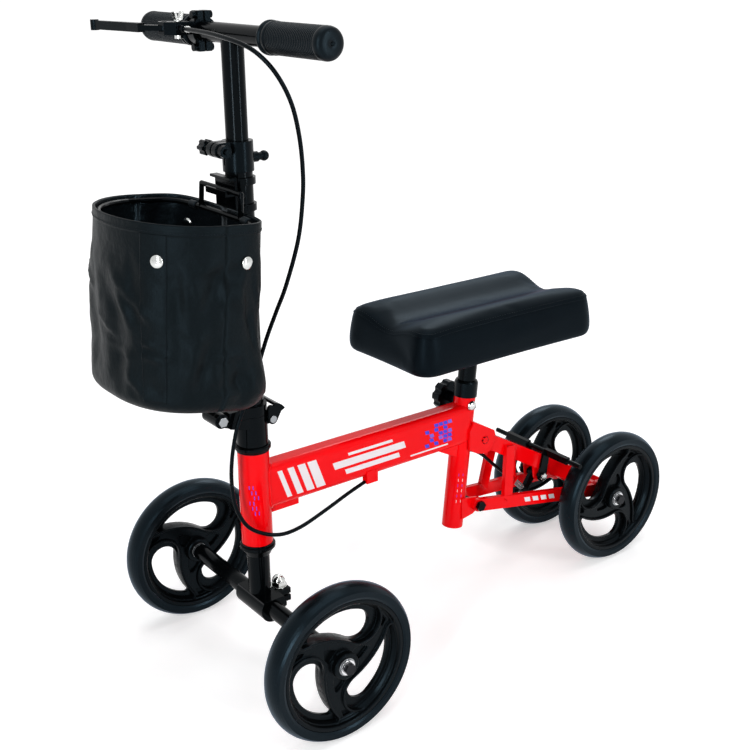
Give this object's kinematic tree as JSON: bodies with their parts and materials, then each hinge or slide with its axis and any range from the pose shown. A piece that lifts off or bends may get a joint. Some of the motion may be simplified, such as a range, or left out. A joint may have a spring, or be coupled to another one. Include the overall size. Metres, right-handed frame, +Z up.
{
  "type": "knee scooter",
  "caption": "Steerable knee scooter with a padded knee seat, red folding frame, canvas basket, height-adjustable handlebar and a hand-lever brake on the rear tyres.",
  "frame": {"origin": "On the floor, under the middle of the bounding box.", "axes": "+X forward, in the direction of travel; +Y to the rider's left; +Z up."},
  "size_m": [0.8586, 0.399, 0.8221],
  "materials": {
    "tyre": "matte",
    "moulded_black": "satin",
    "steel": "brushed",
    "red_paint": "gloss",
    "black_paint": "gloss",
    "black_plastic": "satin",
    "chrome": "polished",
    "grip_rubber": "matte",
    "cable_black": "gloss",
    "canvas": "woven",
    "vinyl": "grained"
  },
  "bodies": {
    "frame": {"head_tube": "red_paint", "headset_cups": "black_paint", "main_tube": "red_paint", "seat_tube": "red_paint", "seat_collar": "black_plastic", "upper_bracket": "red_paint", "lower_bracket": "red_paint", "rear_beam": "red_paint", "arm_left": "red_paint", "arm_right": "red_paint", "strut_left": "red_paint", "strut_right": "red_paint", "rear_axle": "red_paint", "rear_axle_bolts": "chrome", "frame_bolts": "black_paint", "brake_lugs": "red_paint", "cable_loop": "cable_black", "cable_rear": "cable_black", "brake_spring": "steel"},
    "brake_yoke_body": {"brake_yoke": "black_paint"},
    "steering": {"steerer": "black_paint", "base_collar": "black_paint", "axle_saddle": "black_paint", "front_axle": "black_paint", "front_axle_bolts": "chrome", "qr_skewer": "chrome", "fold_bolts": "chrome"},
    "quick_release": {"qr_lever": "black_paint"},
    "fold_latch": {"fold_lever": "black_paint"},
    "stem": {"stem_lower": "black_paint", "stem_clamp": "black_plastic", "basket_bracket": "black_paint", "basket_wire": "black_paint", "basket_bag": "canvas", "cable_stem": "cable_black"},
    "stem_knob": {"clamp_knob": "black_plastic"},
    "height_pin": {"pull_pin": "black_plastic"},
    "bar": {"stem_upper": "black_paint", "handlebar": "black_paint", "grip_left": "grip_rubber", "grip_right": "grip_rubber", "lever_perch": "black_plastic", "cable_bar": "cable_black"},
    "hand_lever": {"brake_lever": "black_plastic"},
    "parking_lock": {"lock_clip": "chrome"},
    "seat": {"seat_post": "black_paint", "seat_pad": "vinyl"},
    "seat_clamp_knob": {"seat_knob": "black_plastic"},
    "wheel_fl": {"tyre_fl": "tyre", "rim_fl": "moulded_black", "bearings_fl": "steel"},
    "wheel_fr": {"tyre_fr": "tyre", "rim_fr": "moulded_black", "bearings_fr": "steel"},
    "wheel_rl": {"tyre_rl": "tyre", "rim_rl": "moulded_black", "bearings_rl": "steel"},
    "wheel_rr": {"tyre_rr": "tyre", "rim_rr": "moulded_black", "bearings_rr": "steel"}
  },
  "joints": [
    {"name": "steer", "type": "hinge", "parent": "frame", "child": "steering", "pos_m": [0.24766, 0, 0.236], "axis": [0, 0, 1], "range_deg": [-45, 45], "deforming": ["cable_loop"]},
    {"name": "fold", "type": "hinge", "parent": "steering", "child": "stem", "pos_m": [0.29666, 0, 0.364], "axis": [0, 1, 0], "range_deg": [0, 90], "deforming": ["cable_stem", "cable_loop"]},
    {"name": "bar_height", "type": "slide", "parent": "stem", "child": "bar", "axis": [0, 0, 1], "range_m": [-0.055, 0.12], "deforming": ["cable_bar"]},
    {"name": "stem_knob_turn", "type": "hinge", "parent": "stem", "child": "stem_knob", "pos_m": [0.27366, 0, 0.6775], "axis": [0, -1, 0], "range_deg": [0, 360]},
    {"name": "height_pin_pull", "type": "slide", "parent": "stem", "child": "height_pin", "axis": [-1, 0, 0], "range_m": [0, 0.006], "stiffness_N_per_m": 900, "springref_m": -0.004},
    {"name": "brake_squeeze", "type": "hinge", "parent": "bar", "child": "hand_lever", "pos_m": [0.28566, -0.082, 0.804], "axis": [0, 0, -1], "range_deg": [0, 19], "stiffness_Nm_per_rad": 0.6, "springref_deg": -14.32},
    {"name": "brake_swing", "type": "hinge", "parent": "frame", "child": "brake_yoke_body", "pos_m": [-0.23434, 0, 0.14], "axis": [0, -1, 0], "range_deg": [0, 19], "deforming": ["brake_spring", "cable_rear"]},
    {"name": "lock_turn", "type": "hinge", "parent": "bar", "child": "parking_lock", "pos_m": [0.27666, -0.066, 0.804], "axis": [0, 0, 1], "range_deg": [0, 40]},
    {"name": "fold_latch_open", "type": "hinge", "parent": "steering", "child": "fold_latch", "pos_m": [0.22866, 0, 0.351], "axis": [0, -1, 0], "range_deg": [0, 70]},
    {"name": "quick_release_open", "type": "hinge", "parent": "steering", "child": "quick_release", "pos_m": [0.21966, 0, 0.083], "axis": [1, 0, 0], "range_deg": [0, 100]},
    {"name": "seat_height", "type": "slide", "parent": "frame", "child": "seat", "axis": [-0.1045, 0, 0.9945], "range_m": [-0.028, 0.06]},
    {"name": "seat_knob_turn", "type": "hinge", "parent": "frame", "child": "seat_clamp_knob", "pos_m": [-0.09468, 0, 0.28699], "axis": [0, -1, 0], "range_deg": [0, 360]},
    {"name": "roll_fl", "type": "hinge", "parent": "steering", "child": "wheel_fl", "pos_m": [0.24766, 0.1765, 0.1], "axis": [0, 1, 0], "continuous": true},
    {"name": "roll_fr", "type": "hinge", "parent": "steering", "child": "wheel_fr", "pos_m": [0.24766, -0.1765, 0.1], "axis": [0, 1, 0], "continuous": true},
    {"name": "roll_rl", "type": "hinge", "parent": "frame", "child": "wheel_rl", "pos_m": [-0.32934, 0.07075, 0.1], "axis": [0, 1, 0], "continuous": true},
    {"name": "roll_rr", "type": "hinge", "parent": "frame", "child": "wheel_rr", "pos_m": [-0.32934, -0.07075, 0.1], "axis": [0, 1, 0], "continuous": true}
  ],
  "couplings": [
    {"joint": "brake_swing", "follows": "brake_squeeze", "ratio": 1}
  ]
}
